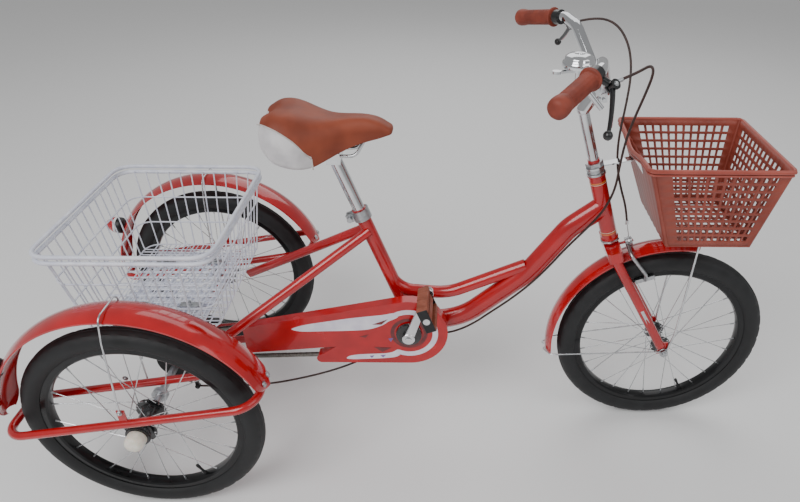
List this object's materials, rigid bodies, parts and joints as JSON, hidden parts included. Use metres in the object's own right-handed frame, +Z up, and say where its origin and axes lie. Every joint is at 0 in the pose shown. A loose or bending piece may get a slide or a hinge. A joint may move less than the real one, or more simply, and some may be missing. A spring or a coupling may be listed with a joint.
{
  "type": "adult tricycle",
  "caption": "Pedal tricycle for adults with a low step-through frame, a steered front wheel, a pair of driven rear wheels under fenders, and baskets at front and rear.",
  "frame": {"origin": "on the ground, under the middle of the overall length and width, with the steering straight ahead", "axes": "+X forward along the direction of travel, +Y to the rider's left, +Z up"},
  "size_m": [1.7173, 0.74, 0.9794],
  "materials": {
    "frame_enamel": "gloss enamel",
    "fender_enamel": "gloss enamel",
    "guard_enamel": "gloss enamel with a pale swoosh",
    "chrome_plate": "polished plate",
    "bright_steel": "zinc plated",
    "spoke_steel": "drawn wire",
    "cast_alloy": "satin",
    "black_steel": "satin black",
    "black_alloy": "black finished rim",
    "tyre_rubber": "moulded",
    "wire_coating": "white dipped wire",
    "basket_plastic": "moulded",
    "lamp_plastic": "clear red",
    "grip_rubber": "moulded",
    "saddle_skin": "grained leatherette",
    "pedal_plastic": "moulded",
    "cable_sheath": "extruded",
    "lever_plastic": "moulded",
    "chain_steel": "oiled"
  },
  "bodies": {
    "frame": {"bb_shell": "frame_enamel", "main_beam": "frame_enamel", "upper_tube": "frame_enamel", "seat_tube": "frame_enamel", "head_tube": "frame_enamel", "rear_stays": "frame_enamel", "rear_subframe": "frame_enamel", "fender_loops": "frame_enamel", "rear_fenders": "fender_enamel", "rear_fender_stays": "bright_steel", "rear_lamps": "lamp_plastic", "rear_basket_rim": "wire_coating", "rear_basket_mesh": "wire_coating", "chain_guard": "guard_enamel", "chain": "chain_steel", "bearing_cups": "bright_steel", "band_brake": "black_steel", "seat_clamp": "bright_steel", "left_shaft": "bright_steel", "rear_brake_cable": "cable_sheath"},
    "seat": {"seat_post": "chrome_plate", "saddle_rails": "bright_steel", "saddle_cushion": "saddle_skin"},
    "steering": {"fork": "frame_enamel", "headset_nut": "chrome_plate", "stem": "chrome_plate", "handlebar": "chrome_plate", "grips": "grip_rubber", "bell": "chrome_plate", "lever_brackets": "lever_plastic", "front_fender": "fender_enamel", "front_stays": "bright_steel", "front_basket": "basket_plastic", "basket_bracket": "chrome_plate", "front_axle": "bright_steel", "front_brake_cable": "cable_sheath"},
    "brake_lever_right": {"brake_lever_right": "lever_plastic"},
    "brake_lever_left": {"brake_lever_left": "lever_plastic"},
    "bell_lever": {"bell_lever": "chrome_plate"},
    "caliper_right": {"caliper_arm_right": "cast_alloy"},
    "caliper_left": {"caliper_arm_left": "cast_alloy"},
    "rear_brake_arm": {"rear_brake_arm": "bright_steel"},
    "crankset": {"cranks": "cast_alloy", "chainring": "black_steel"},
    "pedal_right": {"pedal_right": "pedal_plastic"},
    "pedal_left": {"pedal_left": "pedal_plastic"},
    "drive_wheel": {"drive_shaft": "bright_steel", "rear_cog": "black_steel", "right_tyre": "tyre_rubber", "right_rim": "black_alloy", "right_spokes": "spoke_steel", "right_hub": "black_steel"},
    "left_wheel": {"left_tyre": "tyre_rubber", "left_rim": "black_alloy", "left_spokes": "spoke_steel", "left_hub": "black_steel"},
    "front_wheel": {"front_tyre": "tyre_rubber", "front_rim": "black_alloy", "front_spokes": "spoke_steel", "front_hub": "black_steel"}
  },
  "joints": [
    {"name": "seat_slide", "type": "slide", "parent": "frame", "child": "seat", "axis": [-0.3338, 0, 0.9426], "range_m": [-0.06, 0.06]},
    {"name": "steer", "type": "hinge", "parent": "frame", "child": "steering", "pos_m": [0.45817, 0, 0.504], "axis": [-0.309, 0, 0.9511], "range_deg": [-45, 45], "deforming": ["rear_brake_cable"]},
    {"name": "crank_spin", "type": "hinge", "parent": "frame", "child": "crankset", "pos_m": [-0.00885, 0, 0.31], "axis": [0, 1, 0], "continuous": true, "deforming": ["chain"]},
    {"name": "drive_wheel_spin", "type": "hinge", "parent": "frame", "child": "drive_wheel", "pos_m": [-0.55683, -0.292, 0.25], "axis": [0, 1, 0], "continuous": true},
    {"name": "left_wheel_spin", "type": "hinge", "parent": "frame", "child": "left_wheel", "pos_m": [-0.55683, 0.292, 0.25], "axis": [0, 1, 0], "continuous": true},
    {"name": "front_wheel_spin", "type": "hinge", "parent": "steering", "child": "front_wheel", "pos_m": [0.60817, 0, 0.25], "axis": [0, 1, 0], "continuous": true},
    {"name": "pedal_right_spin", "type": "hinge", "parent": "crankset", "child": "pedal_right", "pos_m": [0.03903, -0.1475, 0.44156], "axis": [0, 1, 0], "continuous": true},
    {"name": "pedal_left_spin", "type": "hinge", "parent": "crankset", "child": "pedal_left", "pos_m": [-0.05674, 0.1475, 0.17844], "axis": [0, 1, 0], "continuous": true},
    {"name": "brake_lever_right_pull", "type": "hinge", "parent": "steering", "child": "brake_lever_right", "pos_m": [0.34859, -0.21945, 0.94723], "axis": [-0.4408, 0.6019, -0.6659], "range_deg": [0, 20], "stiffness_Nm_per_rad": 2, "springref_deg": -8.59},
    {"name": "brake_lever_left_pull", "type": "hinge", "parent": "steering", "child": "brake_lever_left", "pos_m": [0.34859, 0.21945, 0.94723], "axis": [0.4408, 0.6019, 0.6659], "range_deg": [0, 20], "stiffness_Nm_per_rad": 2, "springref_deg": -8.59},
    {"name": "caliper_right_close", "type": "hinge", "parent": "steering", "child": "caliper_right", "pos_m": [0.48459, 0, 0.52625], "axis": [0.9511, 0, 0.309], "range_deg": [0, 1.5]},
    {"name": "caliper_left_close", "type": "hinge", "parent": "steering", "child": "caliper_left", "pos_m": [0.48459, 0, 0.52625], "axis": [-0.9511, 0, -0.309], "range_deg": [0, 1.5]},
    {"name": "rear_brake_arm_pull", "type": "hinge", "parent": "frame", "child": "rear_brake_arm", "pos_m": [-0.53283, -0.092, 0.192], "axis": [0, -1, 0], "range_deg": [0, 15]},
    {"name": "bell_lever_press", "type": "hinge", "parent": "steering", "child": "bell_lever", "pos_m": [0.31517, -0.088, 0.941], "axis": [0, 0, 1], "range_deg": [0, 18], "stiffness_Nm_per_rad": 0.3, "springref_deg": -5.73}
  ],
  "couplings": [
    {"joint": "drive_wheel_spin", "follows": "crank_spin", "ratio": 2},
    {"joint": "caliper_right_close", "follows": "brake_lever_left_pull", "ratio": 0.075},
    {"joint": "caliper_left_close", "follows": "brake_lever_left_pull", "ratio": 0.075},
    {"joint": "rear_brake_arm_pull", "follows": "brake_lever_right_pull", "ratio": 0.75}
  ]
}
